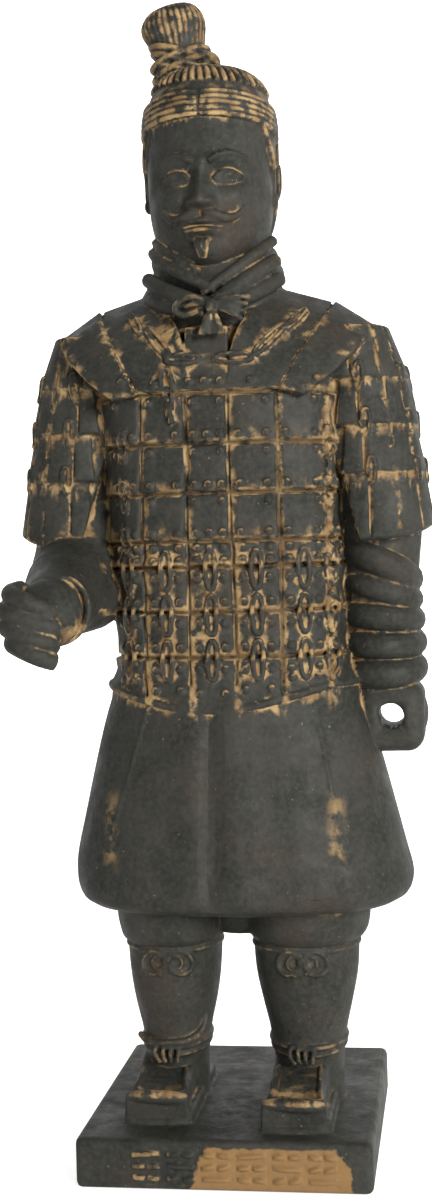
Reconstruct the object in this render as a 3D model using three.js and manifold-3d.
// A moulded clay statuette of an armoured warrior, in one piece with its base.
// Millimetres, +Z up. The figure faces -Y, and its own left hand is at +X.
import * as THREE from 'three';
import { mergeVertices } from 'three/addons/utils/BufferGeometryUtils.js';
import { ConvexGeometry } from 'three/addons/geometries/ConvexGeometry.js';
import Module from 'manifold-3d';

const wasm = await Module();
wasm.setup();

// ---------------------------------------------------------------------------------------------
// Driving dimensions
// ---------------------------------------------------------------------------------------------
const BASE = { x: -0.4, wide: 73.4, deep: 78.6, high: 12.4, corner: 2.6, bevel: 1 };

// Heights of the figure's landmarks, from the underside of the base.
const LEVEL = {
  ankle: 27, knee: 52, crotch: 56, hem: 66, armourHem: 115.5, elbow: 155, yoke: 196,
  shoulder: 219, collar: 222, chin: 229.5, hairline: 266, crown: 282, top: 300,
};

// Outlines seen from above: centre, half width, half depth and squareness (2 is an ellipse).
const SKIRT = [
  { z: LEVEL.hem - 1, x: 2, y: -1, wide: 40, deep: 29.5, square: 2.4 },
  { z: LEVEL.hem + 1.5, x: 2.4, y: -1, wide: 43.2, deep: 31, square: 2.4 },
  { z: LEVEL.hem + 5, x: 2.3, y: -1, wide: 44.4, deep: 31.5, square: 2.4 },
  { z: LEVEL.hem + 11, x: 1.6, y: -1, wide: 43.5, deep: 30.8, square: 2.4 },
  { z: 100, x: 1.4, y: -1, wide: 38.2, deep: 27.5, square: 2.4 },
  { z: 122, x: 1, y: -1, wide: 32, deep: 23, square: 2.4 },
];
const TORSO = [
  { z: LEVEL.armourHem - 3, x: 1, y: -1, wide: 34, deep: 24, square: 2.5 },
  { z: 122, x: 0.8, y: -1, wide: 31.2, deep: 22.6, square: 2.6 },
  { z: 132, x: 0.6, y: -1, wide: 29.6, deep: 21.8, square: 2.6 },
  { z: LEVEL.elbow, x: 0, y: -1, wide: 29.4, deep: 21.5, square: 2.7 },
  { z: 185, x: -0.4, y: -1, wide: 30.6, deep: 22, square: 2.7 },
  { z: LEVEL.yoke, x: -0.5, y: -0.5, wide: 32, deep: 22, square: 2.7 },
  { z: 206, x: -0.8, y: 0, wide: 36, deep: 19.5, square: 2.5 },
  { z: 212, x: -1, y: 0.6, wide: 36, deep: 17, square: 2.4 },
  { z: 217, x: -1.6, y: 1, wide: 32, deep: 14, square: 2.3 },
  { z: LEVEL.shoulder + 2, x: -0.5, y: 1.5, wide: 22, deep: 12, square: 2 },
];

// The armour's plates: upright lines across the front, row lines from the chest to the hem.
const COLUMN_PITCH = 11.6;
const FIRST_COLUMN = -19;
const COLUMNS = [0, 1, 2, 3, 4].map((column) => FIRST_COLUMN + column * COLUMN_PITCH);
const ROWS = [LEVEL.yoke, 183.3, 170.7, 158.5, 152, 140.6, 129.1, LEVEL.armourHem];
const FIRST_SKIRT_ROW = 4;
const PLATE = { proud: 1.4, shallow: 0.3, groove: 1.1, cut: 0.7 };
const HEM_RISE = 6;

const LEGS = [
  { x: -16.8, foot: -18.5, toe: -27.5, thin: 8.2, thick: 12.6, trouser: 14.6 },
  { x: 18.2, foot: 16.6, toe: -32, thin: 9.2, thick: 14, trouser: 16.4 },
];
const SHOE = { wide: 16.4, high: 9, heel: 12, lip: 3, toeDeep: 5.5 };

const ARM = { x: 40.5, wide: 11.4, deep: 13 };
// Shoulder guards: the level of each row's top edge and how far its top and bottom stand out.
const GUARD = {
  rows: [
    { high: 211, low: 199.4, from: 43.6, to: 50 },
    { high: 200, low: 187.4, from: 49.2, to: 52.4 },
    { high: 188, low: 175, from: 51.2, to: 54.6 },
    { high: 175.6, low: 161, from: 54, to: 56 },
  ],
  columns: 5,
  deep: 15.6,
  inner: 24,
  sunk: 8,
};
const GRIP = { x: 42, y: 1, z: 112, wide: 9, deep: 9.5, high: 9, bore: 3.5 };
const FIST = { x: -38.8, y: -49, z: 141, size: 8.2 };

const HEAD = { x: -2, y: -1 };
const KNOT = { x: -10.4, y: -1, lean: -0.19 };

// ---------------------------------------------------------------------------------------------
// Solids from rings of points
// ---------------------------------------------------------------------------------------------
const radians = THREE.MathUtils.degToRad;
const point = (x, y, z) => new THREE.Vector3(x, y, z);
const bulge = (value, power) => Math.sign(value) * Math.abs(value) ** power;

function solid(geometry) {
  geometry.deleteAttribute('normal');
  geometry.deleteAttribute('uv');
  const merged = mergeVertices(geometry, 1e-4);
  return new wasm.Manifold(new wasm.Mesh({
    numProp: 3,
    vertProperties: merged.attributes.position.array,
    triVerts: new Uint32Array(merged.index.array),
  }));
}

// Closes a row of rings into a solid. Its faces are turned outward if they came out inward.
function skin(rings) {
  const sides = rings[0].length;
  const middle = (ring) => ring.reduce((sum, p) => sum.add(p), point(0, 0, 0)).divideScalar(sides);
  const points = [...rings.flat(), middle(rings[0]), middle(rings.at(-1))];
  const faces = [];
  for (let row = 0; row + 1 < rings.length; row += 1) {
    for (let side = 0; side < sides; side += 1) {
      const a = row * sides + side;
      const b = row * sides + ((side + 1) % sides);
      faces.push([a, b, b + sides], [a, b + sides, a + sides]);
    }
  }
  const last = (rings.length - 1) * sides;
  for (let side = 0; side < sides; side += 1) {
    const next = (side + 1) % sides;
    faces.push([points.length - 2, next, side]);
    faces.push([points.length - 1, last + side, last + next]);
  }
  const volume = faces.reduce((sum, [a, b, c]) => (
    sum + points[a].dot(point(0, 0, 0).crossVectors(points[b], points[c]))), 0);
  const turned = volume < 0 ? faces.map(([a, b, c]) => [a, c, b]) : faces;
  const geometry = new THREE.BufferGeometry().setFromPoints(points);
  geometry.setIndex(turned.flat());
  return solid(geometry);
}

const hull = (points) => solid(new ConvexGeometry(points));
const join = (solids) => solids.reduce((whole, next) => whole.add(next));

// A point on an outline at an angle: 0 is +X, -90 degrees is the front.
function onOutline({ x, y, z, wide, deep, square }, angle, proud = 0) {
  const power = 2 / square;
  return point(
    x + (wide + proud) * bulge(Math.cos(angle), power),
    y + (deep + proud) * bulge(Math.sin(angle), power),
    z,
  );
}

function ring(outline, sides, ripple = { count: 0, size: 0 }) {
  return Array.from({ length: sides }, (_, side) => {
    const angle = (2 * Math.PI * side) / sides;
    const proud = ripple.size * Math.cos(ripple.count * angle);
    const place = onOutline({ square: 2, ...outline }, angle, proud);
    place.z += (outline.pitch ?? 0) * (place.y - outline.y) + (outline.roll ?? 0) * (place.x - outline.x);
    return place;
  });
}

const loft = (outlines, sides, ripple) => skin(outlines.map((outline) => ring(outline, sides, ripple)));

// The outline of a stack of outlines at any height between them.
function outlineAt(stack, z) {
  const upper = Math.max(1, stack.findIndex((outline) => outline.z >= z));
  const [below, above] = [stack[upper - 1], stack[upper]];
  const share = THREE.MathUtils.clamp((z - below.z) / (above.z - below.z), 0, 1);
  const mixed = Object.keys(below).map((key) => [key, THREE.MathUtils.lerp(below[key], above[key], share)]);
  return { ...Object.fromEntries(mixed), z };
}

// A round bar through some points, thinner where `taper` says so. A closed bar has no ends.
function bar(points, radius, { sides = 6, steps = points.length * 2, flat = 1 } = {}) {
  const curve = new THREE.CatmullRomCurve3(points.map((p) => point(...p)));
  const rings = Array.from({ length: steps + 1 }, (_, step) => {
    const share = step / steps;
    const centre = curve.getPoint(share);
    const along = curve.getTangent(share);
    const across = point(0, 0, 0).crossVectors(along, point(0, 1, 0)).normalize();
    const out = point(0, 0, 0).crossVectors(across, along).normalize();
    return Array.from({ length: sides }, (__, side) => {
      const angle = (2 * Math.PI * side) / sides;
      return centre.clone()
        .addScaledVector(across, radius * Math.cos(angle))
        .addScaledVector(out, radius * flat * Math.sin(angle));
    });
  });
  return skin(rings);
}

function lump(x, y, z, wide, deep, high) {
  const geometry = new THREE.SphereGeometry(1, 6, 4);
  geometry.scale(wide, deep, high);
  geometry.translate(x, y, z);
  return solid(geometry);
}

function block(x, y, z, wide, deep, high, turn = 0) {
  const geometry = new THREE.BoxGeometry(wide, deep, high);
  geometry.rotateY(turn);
  geometry.translate(x, y, z);
  return solid(geometry);
}

// ---------------------------------------------------------------------------------------------
// Base, shoes and legs
// ---------------------------------------------------------------------------------------------
function baseSlab() {
  const { x, wide, deep, high, corner, bevel } = BASE;
  const outline = (inset, z) => {
    const points = [];
    [[1, 1, 0], [-1, 1, 90], [-1, -1, 180], [1, -1, 270]].forEach(([right, back, start]) => {
      [0, 45, 90].forEach((turn) => {
        const angle = radians(start + turn);
        points.push(point(
          x + right * (wide / 2 - corner) + (corner - inset) * Math.cos(angle),
          back * (deep / 2 - corner) + (corner - inset) * Math.sin(angle),
          z,
        ));
      });
    });
    return points;
  };
  return skin([
    outline(bevel, 0), outline(0, bevel), outline(0, high - bevel), outline(bevel, high),
  ]);
}

function shoe({ foot, toe }) {
  const { wide, high, heel, lip, toeDeep } = SHOE;
  const floor = BASE.high - 1;
  const half = wide / 2;
  const slice = (y, halfWide, top, crown) => [
    point(foot - halfWide, y, floor), point(foot + halfWide, y, floor),
    point(foot + halfWide, y, top), point(foot + halfWide * 0.6, y, top + crown),
    point(foot - halfWide * 0.6, y, top + crown), point(foot - halfWide, y, top),
  ];
  const upper = skin([
    slice(toe, half * 0.96, BASE.high + high * 0.55, 0.2),
    slice(toe + toeDeep, half, BASE.high + high * 0.72, 0.8),
    slice(toe + 16, half * 0.98, BASE.high + high, 3),
    slice(-2, half * 0.94, BASE.high + high + 4, 4),
    slice(heel - 5, half * 0.9, BASE.high + high + 3, 3),
    slice(heel, half * 0.7, BASE.high + high, 2),
  ]);
  const toeLip = hull([
    ...[-1, 1].flatMap((right) => [
      point(foot + right * half * 1.02, toe - 0.8, floor),
      point(foot + right * half * 0.98, toe + 1.2, BASE.high + high + lip * 0.2),
      point(foot + right * half * 0.98, toe + 3.4, BASE.high + high + lip * 0.4),
      point(foot + right * half, toe + toeDeep, BASE.high + high * 0.6),
      point(foot + right * half, toe + toeDeep, floor),
    ]),
  ]);
  return upper.add(toeLip);
}

function leg({ x, thin, thick, trouser }) {
  const out = Math.sign(x);
  const shin = loft([
    { z: BASE.high + 2, x, y: -3, wide: thin, deep: 10.5 },
    { z: LEVEL.ankle - 0.8, x, y: -3, wide: thin + 0.9, deep: 11.4 },
    { z: LEVEL.ankle + 1, x, y: -3, wide: thin + 0.3, deep: 10.8 },
    { z: 34, x, y: -3, wide: thin + 1.7, deep: 12 },
    { z: 44, x, y: -3, wide: thick - 1, deep: 13.6 },
    { z: LEVEL.knee - 1.4, x, y: -3, wide: thick + 0.6, deep: 15.1 },
    { z: LEVEL.knee, x: x + out * 0.3, y: -3, wide: thick - 0.3, deep: 14.4 },
    { z: LEVEL.knee + 3, x: x + out * 0.6, y: -3, wide: trouser - 0.6, deep: 16.6 },
    { z: LEVEL.hem + 4, x: x + out, y: -3, wide: trouser, deep: 18.4 },
  ], 12);
  return shin.add(tieBow(x, -17.6, 46.4));
}

// A flat bow: two loops and two tails, seen from the front.
function tieBow(x, y, z) {
  const loops = [-1, 1].map((right) => lump(x + right * 2.8, y + 0.6, z + 0.4, 3, 1.6, 1.9));
  const tails = [-1, 1].map((right) => hull([
    point(x, y - 0.6, z), point(x + right * 1.2, y - 0.2, z - 3.8), point(x + right * 2.8, y - 0.2, z - 3.4),
    point(x + right * 2, y + 3, z - 3),
  ]));
  return join([...loops, ...tails]);
}

// ---------------------------------------------------------------------------------------------
// Skirt and armour
// ---------------------------------------------------------------------------------------------
function skirt() {
  const body = loft(SKIRT, 24);
  const front = -SKIRT[1].deep + SKIRT[1].y;
  const crease = hull([
    point(-2.4, front + 2.2, LEVEL.hem - 4), point(-4, front - 3, LEVEL.hem - 4),
    point(-0.8, front - 3, LEVEL.hem - 4), point(-2.4, front + 8, LEVEL.armourHem),
    point(-3.6, front + 2, LEVEL.armourHem), point(-1.2, front + 2, LEVEL.armourHem),
  ]);
  const seat = loft([
    { z: LEVEL.crotch, x: 1, y: -2, wide: 8, deep: 11 }, { z: LEVEL.hem + 4, x: 1, y: -2, wide: 8, deep: 15 },
  ], 10);
  return body.subtract(crease).add(seat);
}

// The angle at which an upright line of the armour meets an outline, on the front or the back.
function lineAngle(outline, x, back) {
  const share = THREE.MathUtils.clamp((x - outline.x) / outline.wide, -1, 1);
  return Math.acos(bulge(share, outline.square / 2)) * (back ? 1 : -1);
}

const hemLevel = (x) => LEVEL.armourHem + HEM_RISE * Math.min(1, ((x + 2) / 30) ** 2);

// Rows of plates as steps: each chest row hangs over the next one, each skirt row laps up over the last.
function armour() {
  const sides = 20;
  const rowRing = (z, proud) => Array.from({ length: sides }, (_, side) => (
    onOutline(outlineAt(TORSO, z), (2 * Math.PI * side) / sides, proud)));
  const rings = [];
  for (let row = ROWS.length - 2; row >= 0; row -= 1) {
    const hangs = row < FIRST_SKIRT_ROW;
    rings.push(rowRing(ROWS[row + 1], hangs ? PLATE.proud : PLATE.shallow));
    rings.push(rowRing(ROWS[row], hangs ? PLATE.shallow : PLATE.proud));
  }
  rings[0].forEach((place) => { place.z = hemLevel(place.x); });
  const chest = TORSO.filter(({ z }) => z > LEVEL.yoke).map((outline) => ring(outline, sides));
  const below = ring(outlineAt(TORSO, LEVEL.armourHem - 2.5), sides);
  const rows = skin([below, ...rings, ...chest]);
  const grooves = [false, true].flatMap((back) => (
    COLUMNS.filter((_, column) => !back || column % 2 === 0).map((x) => columnGroove(x, back))));
  return rows.subtract(join(grooves));
}

// A narrow V cut down the armour along one upright line.
function columnGroove(x, back) {
  const outward = back ? 1 : -1;
  return skin([LEVEL.armourHem - 7.3, 123.4, 146.3, 171.8, LEVEL.yoke + 1.7].map((z) => {
    const outline = outlineAt(TORSO, z);
    const face = onOutline(outline, lineAngle(outline, x, back));
    return [
      point(x - PLATE.groove / 2, face.y + outward * 3, z), point(x + PLATE.groove / 2, face.y + outward * 3, z),
      point(x, face.y - outward * PLATE.cut, z),
    ];
  }));
}

// Two flat panels over each shoulder, front and back, with slanted edges.
function yoke(right, back) {
  const face = back ? 1 : -1;
  const thick = (x, y, z) => [point(right * x - 0.7, face * y, z), point(right * (x - 2), face * (y - 6), z - 4)];
  const outer = hull([
    ...thick(30.5, 5.5, 219.2), ...thick(41.6, 6.5, 211.6), ...thick(24.5, 22.9, 194.8), ...thick(18.5, 23.4, 196.8),
  ]);
  const inner = hull([
    ...thick(29.5, 5, 219), ...thick(17, 7.5, 221.4), ...thick(6, 20.6, 211), ...thick(6, 22.8, 197.2),
    ...thick(17.6, 22.6, 197.2),
  ]);
  return outer.add(inner);
}

// ---------------------------------------------------------------------------------------------
// Arms, shoulder guards and hands
// ---------------------------------------------------------------------------------------------
// A limb through stations [x, y, z, half width, half depth], cut square to its path.
function limb(stations, sides = 12) {
  const places = stations.map(([x, y, z]) => point(x, y, z));
  const rings = stations.map(([, , , wide, deep], index) => {
    const before = places[Math.max(0, index - 1)];
    const after = places[Math.min(places.length - 1, index + 1)];
    const along = after.clone().sub(before).normalize();
    const across = point(1, 0, 0).addScaledVector(along, -along.x).normalize();
    const out = point(0, 0, 0).crossVectors(along, across);
    return Array.from({ length: sides }, (_, side) => {
      const angle = (2 * Math.PI * side) / sides;
      return places[index].clone()
        .addScaledVector(across, wide * bulge(Math.cos(angle), 0.85))
        .addScaledVector(out, deep * bulge(Math.sin(angle), 0.85));
    });
  });
  return skin(rings);
}

// The figure's right arm: down to the elbow, then the forearm forward to a closed fist.
function bentArm() {
  const { x, wide, deep } = ARM;
  const sleeve = limb([
    [-x + 9, 1, 211, wide * 0.6, deep * 0.8], [-x + 2.5, 1, 202, wide - 1.4, deep], [-x + 1, 1, 182, wide, deep + 1],
    [-x + 1, 0, 164, wide, deep + 1], [-x + 0.6, -6, 150.5, wide + 0.6, deep + 0.6], [-x + 0.4, -19, 147, wide + 0.4, 11.4],
    [-x + 0.4, -32, 144.4, wide - 0.8, 10.2], [-x + 1, -42, 142.6, wide - 1.2, 9.6],
  ]);
  const cuff = limb([
    [-x + 1, -36.5, 143.6, wide - 1.4, 9.6], [-x + 1, -39, 143.2, wide - 0.6, 10.4],
    [-x + 1, -42, 142.8, wide - 0.8, 10.2], [-x + 1, -43, 142.7, wide - 3, 8.4],
  ]);
  return join([sleeve, cuff, closedFist()]);
}

function closedFist() {
  const { x, y, z, size } = FIST;
  const palm = limb([
    [x, y + 12, z + 2, size * 0.8, size * 0.86], [x, y + 4, z + 0.6, size, size], [x, y - 4, z, size, size * 0.98],
    [x, y - 8, z - 0.4, size * 0.72, size * 0.8],
  ], 12);
  const fingers = [0, 1, 2, 3].map((finger) => {
    const level = z + 4 - finger * 3.7;
    const reach = size * [0.86, 0.94, 0.9, 0.76][finger];
    return bar([
      [x - reach, y + 2, level + 1.6], [x - reach * 0.8, y - 7, level + 1.2], [x, y - 9.6, level - 0.6],
      [x + reach * 0.7, y - 7.4, level - 2.6],
    ], 2.1, { sides: 5, steps: 3 });
  });
  return join([palm, ...fingers]);
}

// The figure's left arm hangs straight, its lower sleeve gathered in rolls over a pierced fist.
function straightArm() {
  const { x, wide, deep } = ARM;
  const upper = limb([
    [x - 10, 2, 211, wide * 0.6, deep * 0.8], [x - 3.5, 2, 202, wide - 1.6, deep], [x - 2, 2, 182, wide - 0.6, deep + 1],
    [x - 1, 2, 160, wide - 1, deep], [x - 1, 2, 150, wide - 2, deep - 1],
  ], 16);
  const rolls = [154, 147, 140, 133, 126];
  const gathered = rolls.flatMap((z, roll) => [[3.4, -1.2], [0.6, 0.5], [-1.4, 0.5]].map(([rise, swell]) => ({
    z: z + rise,
    x: x - 0.6,
    y: 1.8,
    wide: wide + swell,
    deep: deep + swell,
    roll: Math.min(0, -0.5 + 0.15 * roll),
  })));
  const last = { x: x - 0.6, y: 1.8 };
  const sleeve = loft([
    ...gathered, { ...last, z: 121.4, wide: wide + 0.4, deep: deep + 0.4 }, { ...last, z: 119, wide: wide - 0.6, deep: deep - 0.6 },
  ], 12);
  return join([upper, sleeve, piercedFist()]);
}

function piercedFist() {
  const { x, y, z, wide, deep, high, bore } = GRIP;
  const hand = loft([
    { z: z - high, x, y, wide: wide - 2.6, deep: deep - 2.4, square: 3.4 },
    { z: z - high + 2.4, x, y, wide: wide - 0.5, deep: deep - 0.4, square: 3.4 },
    { z, x, y, wide, deep, square: 3.4 },
    { z: z + high, x, y, wide: wide - 0.6, deep: deep - 0.4, square: 3.4 },
    { z: z + high + 3, x, y, wide: wide - 2, deep: deep - 2, square: 3.4 },
  ], 16);
  const hole = new THREE.CylinderGeometry(bore, bore, 4 * deep, 14);
  hole.translate(x, y, z);
  const groove = block(x, y - deep, z - high / 2 - 1.4, 1.6, 1.6, high);
  return hand.subtract(solid(hole)).subtract(groove);
}

// Four stepped rows of small plates wrap the outside of each upper arm.
function shoulderGuard(right) {
  const { rows, columns, deep, inner } = GUARD;
  const first = radians(-100);
  const last = radians(100);
  const bodyShift = -0.7;
  const plates = rows.flatMap(({ high, low, from, to }, row) => {
    const edge = (z, out, sunk, angle) => {
      const outline = { x: inner, y: 1.5, z, wide: out - inner - sunk, deep: deep + row * 0.7 - sunk, square: 2.3 };
      const place = onOutline(outline, angle);
      place.x = right * place.x + bodyShift;
      return place;
    };
    return Array.from({ length: columns }, (_, column) => {
      const stations = [0.04, 0.96].map((part) => {
        const angle = THREE.MathUtils.lerp(first, last, (column + part) / columns);
        const droop = row === rows.length - 1 ? 5 * Math.sin(angle) ** 2 - 1 : 0;
        return [
          edge(low - droop, to, 0, angle), edge(high, from, 0, angle),
          edge(high, from, GUARD.sunk, angle), edge(low - droop, to, GUARD.sunk, angle),
        ];
      });
      return skin(stations);
    });
  });
  return join(plates);
}

// ---------------------------------------------------------------------------------------------
// Scarf, head and hair
// ---------------------------------------------------------------------------------------------
function scarf() {
  const rolls = [0, 1, 2].flatMap((roll) => [[-2.7, -0.9], [-0.9, 0.7], [1.1, 0.7]].map(([rise, swell]) => ({
    z: LEVEL.collar + 2.4 + roll * 5.4 + rise,
    x: -1.8,
    y: 0.2,
    wide: 20 - 1.4 * roll + swell,
    deep: 19.8 - 1.7 * roll + swell,
    pitch: 0.2 + 0.05 * roll,
  })));
  const wrap = loft([{ z: LEVEL.collar - 8, x: -1, y: 0, wide: 19, deep: 18, pitch: 0.2 }, ...rolls], 18);
  const loop = bar([
    [0, -22.5, 218], [-3, -23.4, 220], [-7.5, -23, 219.4], [-8, -23, 217], [-3.4, -23.4, 216], [0, -22.5, 217.6],
  ], 1, { sides: 4, steps: 6 });
  const fan = [0, 1, 2].map((rib) => bar([
    [0.5, -22.4, 218], [5, -23.2, 218.9 - rib * 1.1], [10.2 - rib * 0.8, -21.6, 218.2 - rib * 1.9],
  ], 0.9, { sides: 4, steps: 2 }));
  const tails = [-1, 1].map((side) => hull([
    point(-side * 1.1, -22, 216.6 + side * 0.3), point(side * 2, -24, 216.5), point(side * 4.4, -23.6, 209.7),
    point(side * 1.2, -23.9, 209.2), point(side * 3.4, -19, 210.3), point(-side * 0.9, -19, 215.8 + side * 0.3),
  ]));
  return join([wrap, loop, ...fan, ...tails, lump(0.4, -22.6, 217.8, 1.9, 1.9, 2)]);
}

function head() {
  const { x, y } = HEAD;
  const skull = loft([
    { z: LEVEL.chin, x, y: y - 12.5, wide: 5, deep: 5.5 },
    { z: 232, x, y: y - 9.5, wide: 8.4, deep: 9.6 },
    { z: 237, x, y: y - 4.5, wide: 13, deep: 14.6 },
    { z: 244, x, y: y - 1.2, wide: 15.4, deep: 17.8 },
    { z: 252, x, y, wide: 16.6, deep: 19 },
    { z: 262, x, y, wide: 17, deep: 19 },
    { z: 272, x, y: y + 0.5, wide: 16.2, deep: 17.6 },
    { z: 279, x, y: y + 1, wide: 11, deep: 12 },
  ], 18);
  const front = y - 19;
  const nose = hull([
    point(x - 1.3, front + 1, 255), point(x + 1.3, front + 1, 255), point(x, front - 0.6, 254),
    point(x - 0.9, front - 3.9, 246.4), point(x + 0.9, front - 3.9, 246.4),
    point(x - 3, front + 0.4, 245), point(x + 3, front + 0.4, 245), point(x, front + 3, 243.6),
    point(x, front - 2.6, 244.6),
  ]);
  const sides = [-1, 1].flatMap((right) => [
    lump(x + right * 6.4, front + 1.9, 252.6, 3.1, 1.7, 1.3),
    bar([[x + right * 2.2, front + 0.5, 256], [x + right * 6.6, front + 1.2, 257.6], [x + right * 10.8, front + 4.4, 256.4]],
      0.9, { sides: 4, steps: 2 }),
    bar([[x + right * 0.6, front - 0.2, 242.8], [x + right * 4.4, front + 0.4, 242], [x + right * 8, front + 2.6, 243.4]],
      0.9, { sides: 4, steps: 2 }),
    lump(x + right * 17.4, y + 1, 251, 1.9, 3, 5),
  ]);
  const lips = [
    lump(x, front + 1.2, 240.6, 3.6, 1.6, 0.9),
    lump(x, front + 1.6, 238.9, 2.9, 1.6, 1),
    hull([point(x - 1.6, front + 2.6, 237), point(x + 1.6, front + 2.6, 237), point(x, front + 1.2, 236.4),
      point(x, front + 3.6, 231), point(x, front + 6, 236)]),
  ];
  return join([skull, nose, ...sides, ...lips]);
}

function hair() {
  const { x, y } = HEAD;
  const bands = [0, 1, 2].flatMap((band) => {
    const wide = 18.6 - 2.2 * (band / 3) ** 2;
    const z = 263.4 + band * 4.2;
    return [{ z: z - 1.5, wide: wide - 0.9 }, { z, wide: wide + 0.3 }];
  });
  const cap = loft([
    { z: 259, wide: 16 }, ...bands, { z: 278, wide: 15 }, { z: 281, wide: 12 }, { z: LEVEL.crown + 1, wide: 8 },
  ].map(({ z, wide }) => ({ z, wide, x, y: y + 0.6, deep: wide + 2.4 - (z - 259) * 0.07, pitch: -0.12 })), 18);
  const nape = loft([
    { z: 236, x, y: y + 6, wide: 13, deep: 11.5 },
    { z: 244, x, y: y + 5, wide: 16, deep: 14.4 },
    { z: 254, x, y: y + 4, wide: 17.6, deep: 16.2 },
    { z: 264, x, y: y + 2.4, wide: 17.8, deep: 17.6 },
  ], 12);
  const knotAt = (z, wide, deep) => (
    { z, x: KNOT.x + (z - 292) * KNOT.lean, y: KNOT.y, wide, deep, roll: 0.16 });
  const knot = loft([
    knotAt(276, 8, 8), knotAt(281.5, 7.2, 7.4), knotAt(284, 8.2, 8), knotAt(287, 7.6, 7.6), knotAt(289.5, 7, 7),
    knotAt(294, 8, 7.6), knotAt(298, 7.6, 7), knotAt(LEVEL.top - 0.6, 5, 4.4),
  ], 16, { count: 8, size: 0.4 });
  const bindings = [-1, 1].map((side) => bar([
    [KNOT.x + side * 6.4, KNOT.y - 3, 284], [KNOT.x + 1, KNOT.y - 7.6, 286.4], [KNOT.x - side * 6, KNOT.y - 3, 289.4],
  ], 1.2, { sides: 4, steps: 4 }));
  return join([cap, nape, knot, ...bindings, lump(-1.6, KNOT.y, 285.8, 3.4, 4, 3.4)]);
}

// ---------------------------------------------------------------------------------------------
// The statue
// ---------------------------------------------------------------------------------------------
const statue = join([
  baseSlab(),
  ...LEGS.flatMap((side) => [shoe(side), leg(side)]),
  skirt(),
  armour(),
  ...[-1, 1].flatMap((right) => [yoke(right, false), yoke(right, true), shoulderGuard(right)]),
  bentArm(),
  straightArm(),
  scarf(),
  head(),
  hair(),
]);

const CLAY = new THREE.MeshStandardMaterial({ color: 0x3b3a35, roughness: 0.78, metalness: 0 });

// The faces that hang together with the first one of the largest shell: sealed pockets are left out.
function outerShell(corners, triangles) {
  const owner = Array.from({ length: corners }, (_, corner) => corner);
  const root = (corner) => {
    let at = corner;
    while (owner[at] !== at) at = owner[at];
    owner[corner] = at;
    return at;
  };
  for (let i = 0; i < triangles.length; i += 3) {
    owner[root(triangles[i])] = root(triangles[i + 1]);
    owner[root(triangles[i + 1])] = root(triangles[i + 2]);
  }
  const sizes = new Map();
  triangles.forEach((corner) => sizes.set(root(corner), (sizes.get(root(corner)) ?? 0) + 1));
  const [largest] = [...sizes.entries()].sort((one, other) => other[1] - one[1])[0];
  return triangles.filter((corner) => root(corner) === largest);
}

function meshOf(whole, name) {
  const { vertProperties, triVerts } = whole.getMesh();
  const geometry = new THREE.BufferGeometry();
  geometry.setAttribute('position', new THREE.BufferAttribute(vertProperties, 3));
  geometry.setIndex(new THREE.BufferAttribute(outerShell(vertProperties.length / 3, triVerts), 1));
  geometry.computeVertexNormals();
  const mesh = new THREE.Mesh(geometry, CLAY);
  mesh.name = name;
  return mesh;
}

const group = new THREE.Group();
group.add(meshOf(statue, 'warrior_statue'));

export default group;
